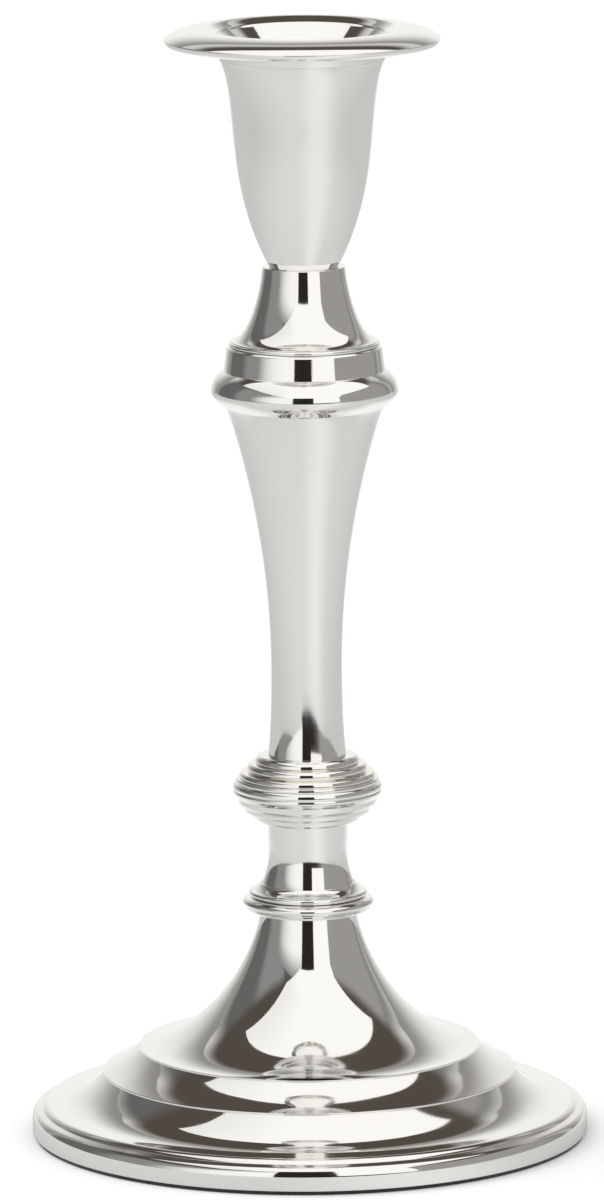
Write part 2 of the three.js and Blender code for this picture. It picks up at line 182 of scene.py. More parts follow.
# studio walls far away, in degrees with the front at 0: each patch fades in, holds and fades out,
# the last one is the dark around the lens, and a dark gap lies above them all
walls = {
    "fill": 0.9,   # even light that matt surfaces receive
    "base": (0.12, 0.115, 0.11, 1),
    "gap": (0.085, 0.072, 0.06, 1),
    "gapFrom": (37, 46),
    "patches": [
        {"around": (-140, -118, -108, -92), "colour": (0.135, 0.133, 0.13, 1)},
        {"around": (-105, -88, -55, -45), "colour": (0.26, 0.26, 0.255, 1)},
        {"around": (30, 44, 118, 130), "colour": (0.33, 0.32, 0.30, 1)},
        {"around": (120, 142, 200, 210), "colour": (0.62, 0.61, 0.59, 1)},
        {"around": (-210, -200, -146, -126), "colour": (0.62, 0.61, 0.59, 1)},
        {"around": (-40, -20, 20, 34), "colour": (0.022, 0.019, 0.018, 1)},
    ],
}


def paintWalls(s):
    world = bpy.data.worlds.new("studio")
    scene.world = world
    world.use_nodes = True
    tree = world.node_tree
    tree.nodes.clear()
    axes = splitAxes(tree, spotOf(tree, "Generated"))
    around = degreesFromFront(tree, axes)
    up = calc(tree, "DEGREES", calc(tree, "ARCSINE", axes[2]))
    colour = s["base"]
    for patch in s["patches"]:
        start, full, fade, end = patch["around"]
        mask = calc(tree, "MULTIPLY", ramp(tree, around, start, full), ramp(tree, around, fade, end, 1, 0))
        colour = mixColour(tree, mask, colour, patch["colour"])
    colour = mixColour(tree, ramp(tree, up, *s["gapFrom"]), colour, s["gap"])
    path = addNode(tree, "ShaderNodeLightPath").outputs
    sides = []
    for paint, strength in ((colour, 1.0), (white, s["fill"]), (white, 1.0)):
        side = addNode(tree, "ShaderNodeBackground", {"Color": paint, "Strength": strength})
        sides.append(side.outputs[0])
    mirrored, fill, plain = sides
    lit = mixShader(tree, path["Is Diffuse Ray"], mirrored, fill)
    seen = mixShader(tree, path["Is Camera Ray"], lit, plain)
    addNode(tree, "ShaderNodeOutputWorld", {"Surface": seen})


paintWalls(walls)

# lit panels of the tent: corners in metres; fade is the share of the left, right, foot and top
# that turns to the edge colour, and drawnIn moves the foot's two ends inward
panelWhite = (1.0, 0.985, 0.955, 1)
panels = {
    "roof": {"low": (-0.285, -0.30, 0.42), "high": (0.36, 0.10, 0.42), "glow": 1.04,
             "fade": (0.4, 0, 0, 0), "edge": (0.86, 0.85, 0.83, 1)},
    "flap": {"low": (-0.285, -0.30, 0.275), "high": (0.36, -0.30, 0.42), "glow": 1.04,
             "fade": (0.3, 0, 0, 0), "edge": (0.86, 0.85, 0.83, 1), "drawnIn": (0.19, 0.09)},
    "frontLeft": {"low": (-2.15, -0.78, 0.0), "high": (-0.201, -0.78, 0.86), "glow": 1.0,
                  "fade": (0.93, 0, 0, 0.5), "edge": (0.3, 0.3, 0.295, 1)},
    "frontRight": {"low": (0.13, -0.69, 0.075), "high": (0.66, -0.69, 0.76), "glow": 1.04},
    "rear": {"low": (-0.95, 0.95, 0.0), "high": (0.95, 0.95, 0.9), "glow": 0.94,
             "fade": (0.45, 0.45, 0, 0.55), "edge": (0.3, 0.29, 0.27, 1)},
}


def hangPanel(name, s):
    low, high = s["low"], s["high"]
    fromLeft, fromRight = s.get("drawnIn", (0, 0))
    corners = [(low[0] + fromLeft, low[1], low[2]), (high[0] - fromRight, low[1], low[2]),
               high, (low[0], high[1], high[2])]
    mesh = bpy.data.meshes.new(name)
    mesh.from_pydata(corners, [], [(0, 1, 2, 3)])
    panel = addObject(name, mesh)
    material, tree = startMaterial(name)
    colour = panelWhite
    if "fade" in s:
        axes = splitAxes(tree, spotOf(tree, "Generated"))
        left, right, foot, top = s["fade"]
        mask = 1.0
        for along, near, far in ((axes[0], left, right), (axes[2], foot, top)):
            if near:
                mask = calc(tree, "MULTIPLY", mask, ramp(tree, along, 0, near))
            if far:
                mask = calc(tree, "MULTIPLY", mask, ramp(tree, along, 1 - far, 1, 1, 0))
        colour = mixColour(tree, mask, s["edge"], panelWhite)
    endMaterial(tree, glowing(tree, colour, s["glow"]))
    mesh.materials.append(material)
    panel.visible_camera = False
    panel.visible_diffuse = False
    panel.visible_shadow = False


for panelName, panelSettings in panels.items():
    hangPanel(panelName, panelSettings)
print("studio hung")

# floor: pale table top that ends before the lens, reads white to it and keeps the shadow
floorSheet = {
    "edge": ((-0.74, -0.77), (-0.2, -0.77), (-0.2, -0.64), (0.3, -0.64), (0.55, -0.66), (0.8, -0.58),
             (1.0, -0.29), (1.3, 0.08), (1.3, 8.0), (-1.0, 8.0), (-0.9, 0.2), (-0.78, -0.1)),
    # mirrored is a darker copy of the floor colour that only reflections see: painted shade
    "colour": (0.90, 0.895, 0.89, 1), "mirrored": (0.545, 0.542, 0.536, 1), "lift": 0.1,
    "grain": 40.0, "grainDetail": 3.0, "grainShare": 0.03, "grainColour": (0.6, 0.6, 0.6, 1),
    # the glow, back and streak settings below are painted light that only reflections see
    "glowAt": (0.0, -0.4, 0.0), "glowSpan": (0.1, 0.9), "glow": 0.15,
    "backSpan": (0.10, 0.25), "backStart": 0.12, "backGlow": 0.30,
    "streak": 0.135, "streakToward": 27.0, "streakWidth": 40.0,   # the last two in degrees
}


def paintedFloorGlow(tree, spot, s):
    # painted light that only metal sees on the floor: a painted pool, brighter in front and close behind,
    # with a painted streak towards the right panel
    centre = {0: spot, 1: s["glowAt"]}
    away = addNode(tree, "ShaderNodeVectorMath", centre, operation="DISTANCE").outputs["Value"]
    axes = splitAxes(tree, spot)
    offset = calc(tree, "SUBTRACT", degreesFromFront(tree, axes), s["streakToward"])
    streak = ramp(tree, calc(tree, "ABSOLUTE", offset), 0, s["streakWidth"], s["streak"], 0)
    sheen = calc(tree, "ADD", ramp(tree, away, *s["glowSpan"], s["glow"], 0), streak)
    behind = ramp(tree, calc(tree, "ABSOLUTE", axes[0]), *s["backSpan"], s["backGlow"], 0)
    behind = calc(tree, "MULTIPLY", behind, ramp(tree, axes[1], 0, s["backStart"]))
    return calc(tree, "ADD", sheen, behind)


def layFloor(s):
    mesh = bpy.data.meshes.new("floor")
    mesh.from_pydata([(x, y, 0) for x, y in s["edge"]], [], [tuple(range(len(s["edge"])))])
    floor = addObject("floor", mesh)
    material, tree = startMaterial("floorPaper")
    path = addNode(tree, "ShaderNodeLightPath").outputs
    spot = spotOf(tree)
    grain = calc(tree, "MULTIPLY", noise(tree, spot, s["grain"], s["grainDetail"]), s["grainShare"])
    # painted shade: reflections see the darker mirrored colour
    shade = mixColour(tree, path["Is Glossy Ray"], s["colour"], s["mirrored"])
    shade = mixColour(tree, grain, shade, s["grainColour"])
    paper = addNode(tree, "ShaderNodeBsdfDiffuse", {"Color": shade}).outputs[0]
    lift = calc(tree, "MULTIPLY", path["Is Camera Ray"], s["lift"])
    # painted light: the floor glows in reflections only
    sheen = calc(tree, "MULTIPLY", path["Is Glossy Ray"], paintedFloorGlow(tree, spot, s))
    glow = glowing(tree, white, calc(tree, "ADD", lift, sheen))
    lit = addNode(tree, "ShaderNodeAddShader", {0: paper, 1: glow}).outputs[0]
    under = addNode(tree, "ShaderNodeNewGeometry").outputs["Backfacing"]
    clear = addNode(tree, "ShaderNodeBsdfTransparent").outputs[0]
    endMaterial(tree, mixShader(tree, under, lit, clear))
    mesh.materials.append(material)


layFloor(floorSheet)
print("floor laid")

# broad lamp on the left: lights matt surfaces and leaves a soft shadow on the right
sideLamp = {"from": (-0.6, 0.15, 0.85), "power": 0.78, "spread": 40.0}


def hangLamp(s):
    light = bpy.data.lights.new("sideLamp", "SUN")
    light.energy = s["power"]
    light.angle = math.radians(s["spread"])
    lamp = addObject("sideLamp", light)
    lamp.matrix_world = Vector(s["from"]).to_track_quat("Z", "Y").to_matrix().to_4x4()
    lamp.visible_glossy = False


hangLamp(sideLamp)
print("lamp hung")

# warm tarnish in clouds and in the hollows between mouldings
tarnishBloom = {"cloudDetail": 5.0, "cloudRoughness": 0.6, "patch": (0.45, 0.75),
                "crease": (0.2, 0.6), "creaseDepth": (0.2, 0.6)}


def makeTarnish(s):
    group, into, out = newGroup("tarnishBloom", [
        ("Clean", "NodeSocketColor", (0.9, 0.89, 0.87, 1)),
        ("Warm", "NodeSocketColor", (0.8, 0.74, 0.62, 1)),
        ("Scale", "NodeSocketFloat", 30.0),
        ("Amount", "NodeSocketFloat", 0.3),
        ("Hollow", "NodeSocketFloat", 0.0),
    ], [("Colour", "NodeSocketColor")])
    cloud = noise(group, spotOf(group), into["Scale"], s["cloudDetail"], s["cloudRoughness"])
    patch = calc(group, "MULTIPLY", ramp(group, cloud, *s["patch"]), into["Amount"])
    crease = calc(group, "MULTIPLY", into["Hollow"], ramp(group, cloud, *s["crease"], *s["creaseDepth"]))
    mask = calc(group, "MAXIMUM", patch, crease, clamp=True)
    group.links.new(mixColour(group, mask, into["Clean"], into["Warm"]), out["Colour"])
    return group


# smears and hairlines from the polishing cloth
polishMarks = {"smearDetail": 4.0, "smearTwist": 0.6, "rub": (0.35, 0.75), "line": (0.68, 0.74),
               "lineDetail": 1.0, "lineStretch": (1800, 60, 60),
               "lineTurns": ((0.3, 0.2, 0.9), (1.1, 0.7, 2.2), (0.6, 1.4, 0.4))}


def makePolish(s):
    group, into, out = newGroup("polishMarks", [
        ("Smooth", "NodeSocketFloat", 0.05),
        ("Dull", "NodeSocketFloat", 0.14),
        ("Smear Scale", "NodeSocketFloat", 45.0),
        ("Hairline", "NodeSocketFloat", 0.3),
    ], [("Roughness", "NodeSocketFloat"), ("Height", "NodeSocketFloat")])
    spot = spotOf(group)
    smear = noise(group, spot, into["Smear Scale"], s["smearDetail"], distortion=s["smearTwist"])
    lines = 0.0
    for turn in s["lineTurns"]:
        laid = stretched(group, spot, turn, s["lineStretch"])
        streak = noise(group, laid, 1.0, s["lineDetail"])
        lines = calc(group, "MAXIMUM", lines, ramp(group, streak, *s["line"]))
    lines = calc(group, "MULTIPLY", lines, into["Hairline"])
    share = calc(group, "ADD", ramp(group, smear, *s["rub"]), lines, clamp=True)
    values = {"Value": share, "To Min": into["Smooth"], "To Max": into["Dull"]}
    rough = addNode(group, "ShaderNodeMapRange", values)
    group.links.new(rough.outputs[0], out["Roughness"])
    group.links.new(calc(group, "MULTIPLY", lines, -1), out["Height"])
    return group


# slow waves and fine rings that spinning leaves
spunRipple = {"waveDetail": 2.0, "ringDetail": 2.0}


def makeRipple(s):
    group, into, out = newGroup("spunRipple", [
        ("Wave Scale", "NodeSocketFloat", 60.0),
        ("Ring Scale", "NodeSocketFloat", 500.0),
        ("Ring Share", "NodeSocketFloat", 0.2),
    ], [("Height", "NodeSocketFloat")])
    spot = spotOf(group)
    wave = noise(group, spot, into["Wave Scale"], s["waveDetail"])
    axes = splitAxes(group, spot)
    flat = addNode(group, "ShaderNodeCombineXYZ", {0: axes[0], 1: axes[1]}).outputs[0]
    reach = addNode(group, "ShaderNodeVectorMath", {0: flat}, operation="LENGTH").outputs["Value"]
    profile = addNode(group, "ShaderNodeCombineXYZ", {0: reach, 2: axes[2]}).outputs[0]
    rings = noise(group, profile, into["Ring Scale"], s["ringDetail"])
    ringPart = calc(group, "MULTIPLY", rings, into["Ring Share"])
    group.links.new(calc(group, "ADD", wave, ringPart), out["Height"])
    return group


tarnish = makeTarnish(tarnishBloom)
polish = makePolish(polishMarks)
ripple = makeRipple(spunRipple)

# metal finishes, and what they have in common
silverPlate = {"clean": (0.93, 0.925, 0.91, 1), "warm": (0.80, 0.74, 0.63, 1), "tarnish": 0.08,
               "smooth": 0.035, "dull": 0.09, "hairline": 0.25, "bump": 0.02, "wave": 45.0,
               "ringShare": 0.10}
socketSilver = {"clean": (0.91, 0.90, 0.88, 1), "warm": (0.66, 0.58, 0.46, 1), "tarnish": 0.22,
                "smooth": 0.06, "dull": 0.16, "hairline": 0.5, "bump": 0.03, "wave": 70.0,
                "ringShare": 0.3}
turnedSteel = {"clean": (0.56, 0.57, 0.58, 1), "warm": (0.40, 0.34, 0.28, 1), "tarnish": 0.5,
               "smooth": 0.28, "dull": 0.45, "hairline": 0.8, "bump": 0.12, "wave": 60.0,
               "ringShare": 1.0}
metalDetail = {"cloudScale": 24.0, "smearScale": 38.0, "ringScale": 700.0, "lineBump": 0.05,
               "lineDepth": 0.00005, "rippleDepth": 0.001}


def metalFinish(name, s, detail):
    material, tree = startMaterial(name)
    hollow = addNode(tree, "ShaderNodeAttribute", attribute_name="hollow").outputs["Fac"]
    bloom = placeGroup(tree, tarnish, {"Clean": s["clean"], "Warm": s["warm"], "Hollow": hollow,
                                       "Scale": detail["cloudScale"], "Amount": s["tarnish"]})
    marks = placeGroup(tree, polish, {"Smooth": s["smooth"], "Dull": s["dull"],
                                      "Smear Scale": detail["smearScale"], "Hairline": s["hairline"]})
    spun = placeGroup(tree, ripple, {"Wave Scale": s["wave"], "Ring Scale": detail["ringScale"],
                                     "Ring Share": s["ringShare"]})
    fine = bumped(tree, marks["Height"], detail["lineBump"], detail["lineDepth"])
    shader = addNode(tree, "ShaderNodeBsdfPrincipled", {
        "Base Color": bloom["Colour"], "Metallic": 1.0, "Roughness": marks["Roughness"],
        "Normal": bumped(tree, spun["Height"], s["bump"], detail["rippleDepth"], fine)})
    endMaterial(tree, shader.outputs[0])
    return material


castIron = {"dark": (0.05, 0.05, 0.052, 1), "light": (0.12, 0.11, 0.105, 1),
            "rust": (0.16, 0.075, 0.035, 1), "grit": 420.0, "gritDetail": 6.0, "gritSpan": (0.35, 0.7),
            "blotch": 55.0, "blotchDetail": 4.0, "rustSpan": (0.58, 0.75), "roughSpan": (0.3, 0.7),
            "rough": (0.6, 0.85), "metallic": 0.6, "bump": 0.6, "depth": 0.0006}


def ironFinish(name, s):
    material, tree = startMaterial(name)
    spot = spotOf(tree)
    grit = noise(tree, spot, s["grit"], s["gritDetail"])
    blotch = noise(tree, spot, s["blotch"], s["blotchDetail"])
    skin = mixColour(tree, ramp(tree, grit, *s["gritSpan"]), s["dark"], s["light"])
    skin = mixColour(tree, ramp(tree, blotch, *s["rustSpan"]), skin, s["rust"])
    shader = addNode(tree, "ShaderNodeBsdfPrincipled", {
        "Base Color": skin, "Metallic": s["metallic"],
        "Roughness": ramp(tree, blotch, *s["roughSpan"], *s["rough"]),
        "Normal": bumped(tree, grit, s["bump"], s["depth"])})
    endMaterial(tree, shader.outputs[0])
    return material


# fibres lie two ways, each given as a turn about the axis and a stretch
pressedFelt = {"dark": (0.010, 0.010, 0.011, 1), "light": (0.032, 0.031, 0.032, 1), "fibre": 900.0,
               "fibreDetail": 3.0, "fibreTwist": 1.5, "lays": ((0.7, (0.35, 1, 1)), (-0.9, (1, 0.3, 1))),
               "wear": 35.0, "wearDetail": 3.0, "wearShare": 0.3, "shadeSpan": (0.55, 0.95),
               "roughSpan": (0.3, 0.7), "rough": (0.86, 0.97), "sheen": 0.25, "sheenRough": 0.6,
               "bump": 0.7, "depth": 0.0004}


def feltFinish(name, s):
    material, tree = startMaterial(name)
    spot = spotOf(tree)
    fuzz = 0.0
    for turn, stretch in s["lays"]:
        laid = stretched(tree, spot, (0, 0, turn), stretch)
        fibres = noise(tree, laid, s["fibre"], s["fibreDetail"], distortion=s["fibreTwist"])
        fuzz = calc(tree, "MAXIMUM", fuzz, fibres)
    worn = noise(tree, spot, s["wear"], s["wearDetail"])
    nap = calc(tree, "ADD", fuzz, calc(tree, "MULTIPLY", worn, s["wearShare"]))
    shader = addNode(tree, "ShaderNodeBsdfPrincipled", {
        "Base Color": mixColour(tree, ramp(tree, nap, *s["shadeSpan"]), s["dark"], s["light"]),
        "Roughness": ramp(tree, worn, *s["roughSpan"], *s["rough"]),
        "Sheen Weight": s["sheen"], "Sheen Roughness": s["sheenRough"],
        "Normal": bumped(tree, fuzz, s["bump"], s["depth"])})
    endMaterial(tree, shader.outputs[0])
    return material


silver = metalFinish("silverPlate", silverPlate, metalDetail)
socket = metalFinish("socketSilver", socketSilver, metalDetail)
steel = metalFinish("turnedSteel", turnedSteel, metalDetail)
iron = ironFinish("castIron", castIron)
felt = feltFinish("pressedFelt", pressedFelt)
print("finishes mixed")


# outlines: points are (radius, height) in millimetres, and a third number eases that corner
def moved(point, by):
    return (point[0] + by[0], point[1] + by[1])


def shifted(points, outward, upward):
    return [moved(p, (outward, upward)) for p in points]


def weighed(shares, points):
    return tuple(sum(w * p[k] for w, p in zip(shares, points)) for k in (0, 1))


def curve(start, startPull, endPull, end, steps=24):
    points = []
    for step in range(steps + 1):
        t = step / steps
        shares = ((1 - t) ** 3, 3 * (1 - t) ** 2 * t, 3 * (1 - t) * t * t, t ** 3)
        points.append(weighed(shares, (start, startPull, endPull, end)))
    return points


def bend(start, pull, end, steps=12):
    points = []
    for step in range(steps + 1):
        t = step / steps
        points.append(weighed(((1 - t) ** 2, 2 * t * (1 - t), t * t), (start, pull, end)))
    return points


def quarterRound(start, corner, end, steps):
    points = []
    for step in range(steps + 1):
        angle = math.pi / 2 * step / steps
        a, b = 1 - math.sin(angle), 1 - math.cos(angle)
        points.append(weighed((1 - a - b, a, b), (corner, start, end)))
    return points


def halfRound(low, high, reach, middle=None, steps=12):
    middle = (low[1] + high[1]) / 2 if middle is None else middle
    widest = (reach, middle)
    lower = quarterRound(low, (reach, low[1]), widest, steps)
    return lower + quarterRound(widest, (reach, high[1]), high, steps)[1:]


def flareDown(start, end, fullness, steps, fromAngle):
    points = []
    power = 2 / fullness
    for step in range(steps + 1):
        angle = fromAngle + (math.pi / 2 - fromAngle) * step / steps
        across = max(math.cos(angle), 0) ** power
        down = math.sin(angle) ** power
        points.append((end[0] - (end[0] - start[0]) * across, start[1] - (start[1] - end[1]) * down))
    return points


# turning: how corners are eased and where tarnish gathers, in millimetres unless noted
turning = {"slightEase": 0.05, "easeSteps": 4, "sharp": math.radians(17), "easeShare": 0.45,
           "hollowReach": 0.8, "fullHollow": 1.4}   # fullHollow and sharp are in radians


def easeCorners(outline, closed, s):
    count = len(outline)
    eased = []
    for i, point in enumerate(outline):
        here = Vector(point[:2])
        if not closed and i in (0, count - 1):
            eased.append(tuple(here))
            continue
        before = here - Vector(outline[i - 1][:2])
        after = Vector(outline[(i + 1) % count][:2]) - here
        if before.length < tiny:
            continue
        if before.angle(after, 0) < s["sharp"]:
            eased.append(tuple(here))
            continue
        reach = point[2] if len(point) > 2 else s["slightEase"]
        reach = min(reach, before.length * s["easeShare"], after.length * s["easeShare"])
        start = here - before.normalized() * reach
        end = here + after.normalized() * reach
        eased += bend(start, here, end, s["easeSteps"])
    return eased


def hollowMasks(points, closed, s):
    count = len(points)
    flat = [Vector(p) for p in points]
    spans = [(flat[(i + 1) % count] - flat[i]).length for i in range(count)]
    turns = []
    for i in range(count):
        if not closed and i in (0, count - 1):
            turns.append(0.0)
            continue
        a = flat[i] - flat[i - 1]
        b = flat[(i + 1) % count] - flat[i]
        turns.append(math.atan2(a.x * b.y - a.y * b.x, a.dot(b)))
    hollows = []
    for i in range(count):
        total = turns[i]
        for step in (1, -1):
            j, gone = i, 0.0
            while True:
                gone += spans[j if step > 0 else j - 1]
                j = (j + step) % count
                if gone > s["hollowReach"] or j == i:
                    break
                total += turns[j] * (1 - gone / s["hollowReach"])
        hollows.append(min(max(-total / s["fullHollow"], 0.0), 1.0))
    return hollows


def facingAt(points, i, closed):
    along = Vector((0, 0))
    if closed or i > 0:
        along += Vector(points[i]) - Vector(points[i - 1])
    if closed or i < len(points) - 1:
        along += Vector(points[(i + 1) % len(points)]) - Vector(points[i])
    return Vector((along.y, -along.x)).normalized()


def turnPiece(name, outline, body, node, material, segments=160):
    closed = outline[0][0] > tiny
    points = easeCorners(outline, closed, turning)
    hollows = hollowMasks(points, closed, turning)
    count = len(points)
    spokes = [math.tau * k / segments for k in range(segments)]
    verts, normals, masks, rings = [], [], [], []
    for i, (radius, height) in enumerate(points):
        facing = facingAt(points, i, closed)
        if radius < tiny:
            rings.append([len(verts)])
            verts.append((0, 0, height * mm))
            normals.append((0, 0, 1 if facing.y > 0 else -1))
            masks.append(hollows[i])
            continue
        rings.append(list(range(len(verts), len(verts) + segments)))
        for spoke in spokes:
            x, y = math.cos(spoke), math.sin(spoke)
            verts.append((radius * x * mm, radius * y * mm, height * mm))
            normals.append((facing.x * x, facing.x * y, facing.y))
            masks.append(hollows[i])
    faces = []
    for i in range(count if closed else count - 1):
        low, high = rings[i], rings[(i + 1) % count]
        for k in range(segments):
            n = (k + 1) % segments
            if len(low) == 1:
                faces.append((low[0], high[n], high[k]))
            elif len(high) == 1:
                faces.append((low[k], low[n], high[0]))
            else:
                faces.append((low[k], low[n], high[n], high[k]))
    mesh = bpy.data.meshes.new(name)
    mesh.from_pydata(verts, [], faces)
    mesh.polygons.foreach_set("use_smooth", [True] * len(mesh.polygons))
    mesh.attributes.new("hollow", "FLOAT", "POINT").data.foreach_set("value", masks)
    mesh.normals_split_custom_set_from_vertices(normals)
    mesh.materials.append(material)
    piece = addObject(name, mesh)
    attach(piece, body)
    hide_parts(node)
    print("turned", name, len(faces), "faces")


def lowOf(node):
    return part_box(node)[0].z / mm


def highOf(node):
    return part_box(node)[1].z / mm


# heights where the pieces meet, read from the frame
footSeat, footTop = lowOf("foot_shell"), highOf("foot_shell")
footRingTop = highOf("foot_ring")
lowerNeckTop = highOf("lower_neck")
knopTop, stemTop = lowOf("stem"), highOf("stem")
shoulderTop = highOf("shoulder_bead")
bandTop = highOf("collar_band")
collarTop = highOf("collar_ring")
neckTop = highOf("neck")
cupTop = highOf("candle_cup")

# fits shared by the stacked pieces
stack = {"rodBore": 3.3, "spigot": 5.0, "spigotLength": 2.0, "recess": 5.15, "recessDepth": 2.4}


def spigotUnder(foot, length=stack["spigotLength"], radius=stack["spigot"]):
    return [(stack["rodBore"], foot - length), (radius, foot - length), (radius, foot)]


def recessIn(top):
    floor = top - stack["recessDepth"]
    return [(stack["recess"], top), (stack["recess"], floor), (stack["rodBore"], floor)]


def stacked(outer, length=stack["spigotLength"]):
    return spigotUnder(outer[0][1], length) + outer + recessIn(outer[-1][1])


# foot: heights are above the table
foot = {
    "rimRadius": 55.4, "seatEase": 0.15, "wallTop": 3.2, "wallPull": 1.1, "cornerPull": (54.95, 5.13),
    "corner": (54.3, 5.37), "valley": (53.38, 5.72), "valleyEase": 0.1,
    "beadPulls": ((53.1, 6.2), (52.75, 6.5)), "beadTop": (52.15, 6.66),
    "lowerLip": (41.1, 13.0), "upperLip": (33.95, 18.0), "lipDrop": 0.35, "lipEase": 0.25,
    "lowerTier": {"steep": 0.83, "level": 0.06, "knee": 47.1, "soft": 1.36, "lead": 5.0, "extra": 0.62},
    "upperTier": {"steep": 0.95, "level": 0.25, "knee": 38.9, "soft": 2.4, "lead": 3.5, "extra": 0.24},
    "trumpetTop": 9.5, "trumpetFullness": 1.69, "trumpetRise": 2.0,
    "rimWall": 1.6, "rimStep": 3.55, "skin": 1.2, "web": 6.0,
}


def tierDown(start, end, s, steps):
    def sunk(radius):
        bent = radius - s["soft"] * math.log(1 + math.exp((radius - s["knee"]) / s["soft"]))
        led = min(radius - start[0], s["lead"])
        lead = s["extra"] * (led - led * led / (2 * s["lead"]))
        return s["level"] * radius + (s["steep"] - s["level"]) * bent + lead
    share = (start[1] - end[1]) / (sunk(end[0]) - sunk(start[0]))
    points = []
    for step in range(steps + 1):
        radius = start[0] + (end[0] - start[0]) * step / steps
        points.append((radius, start[1] - share * (sunk(radius) - sunk(start[0]))))
    return points


def footOutline(s):
    rim, skin, fullness = s["rimRadius"], s["skin"], s["trumpetFullness"]
    lowerStart = moved(s["lowerLip"], (0, -s["lipDrop"]))
    upperStart = moved(s["upperLip"], (0, -s["lipDrop"]))
    # the curve starts above the top, so that the trumpet already widens under its ring
    trumpetStart = (s["trumpetTop"], footTop + s["trumpetRise"])
    trumpetHeight = trumpetStart[1] - s["upperLip"][1]

    def trumpetFrom(drop, steps):
        angle = math.asin((drop / trumpetHeight) ** (fullness / 2))
        return flareDown(trumpetStart, s["upperLip"], fullness, steps, angle)

    wall = [(rim, footSeat, s["seatEase"]), (rim, s["wallTop"])]
    wall += curve(wall[-1], (rim, s["wallTop"] + s["wallPull"]), s["cornerPull"], s["corner"], steps=18)[1:]
    bead = curve(s["valley"], *s["beadPulls"], s["beadTop"], steps=14)
    bead[0] += (s["valleyEase"],)
    lowerTier = tierDown(lowerStart, s["beadTop"], s["lowerTier"], steps=40)[::-1]
    upperTier = tierDown(upperStart, s["lowerLip"], s["upperTier"], steps=30)[::-1]
    trumpet = trumpetFrom(s["trumpetRise"], steps=70)[::-1]
    upperTier[0] += (s["lipEase"],)
    trumpet[0] += (s["lipEase"],)
    within = trumpetFrom(s["web"] + s["trumpetRise"] - skin, steps=24)
    within += tierDown(upperStart, s["lowerLip"], s["upperTier"], steps=10)
    within += tierDown(lowerStart, s["beadTop"], s["lowerTier"], steps=10)
    inside = recessIn(footTop) + [(stack["rodBore"], footTop - s["web"])] + shifted(within, -skin, -skin)
    inside += [(rim - s["rimWall"], s["rimStep"]), (rim - s["rimWall"], footSeat)]
    return wall + bead + lowerTier[1:] + upperTier + trumpet + inside


turnPiece("footShell", footOutline(foot), "stick", "foot_shell", silver, segments=192)

# ring on the foot: main bead, smaller bead and a flare up to the lower neck
footRing = {"foot": 10.05, "reach": 13.05, "height": 3.2, "equator": 1.95, "groove": 11.0,
            "capReach": 11.8, "capHeight": 1.2, "flareFoot": 11.3, "flareTop": 9.43, "flareRise": 1.25,
            "flarePulls": ((-0.8, 0.25), (0.3, -0.7)), "inside": 9.2}


def footRingOutline(s):
    groove = (s["groove"], footTop + s["height"])
    capTop = (s["flareFoot"], groove[1] + s["capHeight"])
    flareTop = (s["flareTop"], footRingTop + s["flareRise"])
    lowPull, highPull = s["flarePulls"]
    outer = halfRound((s["foot"], footTop), groove, s["reach"], footTop + s["equator"])
    outer += halfRound(groove, capTop, s["capReach"], steps=8)[1:]
    outer += curve(capTop, moved(capTop, lowPull), moved(flareTop, highPull), flareTop, steps=14)[1:]
    return stacked(outer + [(s["inside"], flareTop[1]), (s["inside"], footRingTop)])


turnPiece("footRing", footRingOutline(footRing), "stick", "foot_ring", silver)

# waisted length under the knop
lowerNeck = {"foot": 9.65, "waist": 7.87, "waistHeight": 8.25, "top": 8.03}


def lowerNeckOutline(s):
    waist = (s["waist"], footRingTop + s["waistHeight"])
    below = s["waistHeight"] / 2
    footPull = ((s["foot"] + s["waist"]) / 2, footRingTop + below / 2)
    outer = curve((s["foot"], footRingTop), footPull, moved(waist, (0, -below)), waist)
    return stacked(outer + [(s["top"], lowerNeckTop)])


turnPiece("lowerNeck", lowerNeckOutline(lowerNeck), "stick", "lower_neck", silver)

# knop, counted upward: ovolos are (radius, height), reeds are (radius, height, height of the widest point)
knop = {"foot": 8.6, "ovolos": ((10.4, 1.61), (12.55, 1.51), (13.85, 1.93)), "ovoloPull": (1.0, 0.3),
        "reeds": ((14.75, 1.77, 1.15), (14.8, 1.47, 0.38), (14.2, 0.75, 0.21), (13.5, 1.26, 0.31),
                  (11.9, 1.75, 0.65), (10.3, 1.63, 0.3)),
        "roundness": 1.5, "reedSlant": (0.4, 0.3), "reedRise": 0.6, "stemFoot": 7.8, "stemSpigot": 5.41}


def knopOutline(s):
    outer = [(s["foot"], lowerNeckTop)]
    height = lowerNeckTop
    across, up = s["ovoloPull"]
    for radius, tall in s["ovolos"]:
        start, end = outer[-1], (radius, height + tall)
        pull = moved(start, ((end[0] - start[0]) * across, tall * up))
        outer += curve(start, pull, pull, end, steps=10)[1:]
        height += tall
    outer.pop()
    across, up = s["reedSlant"]
    for radius, tall, crest in s["reeds"]:
        low = (radius - crest ** 2 / s["roundness"], height)
        widest = (radius, height + crest)
        high = (radius - (tall - crest) ** 2 / s["roundness"], height + tall)
        slant = moved(low, ((radius - low[0]) * across, crest * up))
        outer += curve(low, slant, (radius, height + crest * s["reedRise"]), widest, steps=8)
        outer += quarterRound(widest, (radius, high[1]), high, steps=10)[1:]
        height += tall
    spigotTop = knopTop + stack["spigotLength"]
    return spigotUnder(lowerNeckTop) + outer + [
        (s["stemFoot"], knopTop), (s["stemSpigot"], knopTop), (s["stemSpigot"], spigotTop),
        (stack["rodBore"], spigotTop)]


turnPiece("knop", knopOutline(knop), "stick", "knop", silver)

# baluster stem
stem = {"foot": 7.8, "waist": 7.06, "top": 15.48, "waistHeight": 17.55, "footPull": 6.0,
        "waistPull": 17.2, "topPull": 17.8, "flare": 0.319, "wall": 1.5, "topLip": 2.35,
        "fillet": 3.0, "filletLead": 1.0, "filletTop": 15.75, "filletPull": (-0.32, -0.45)}


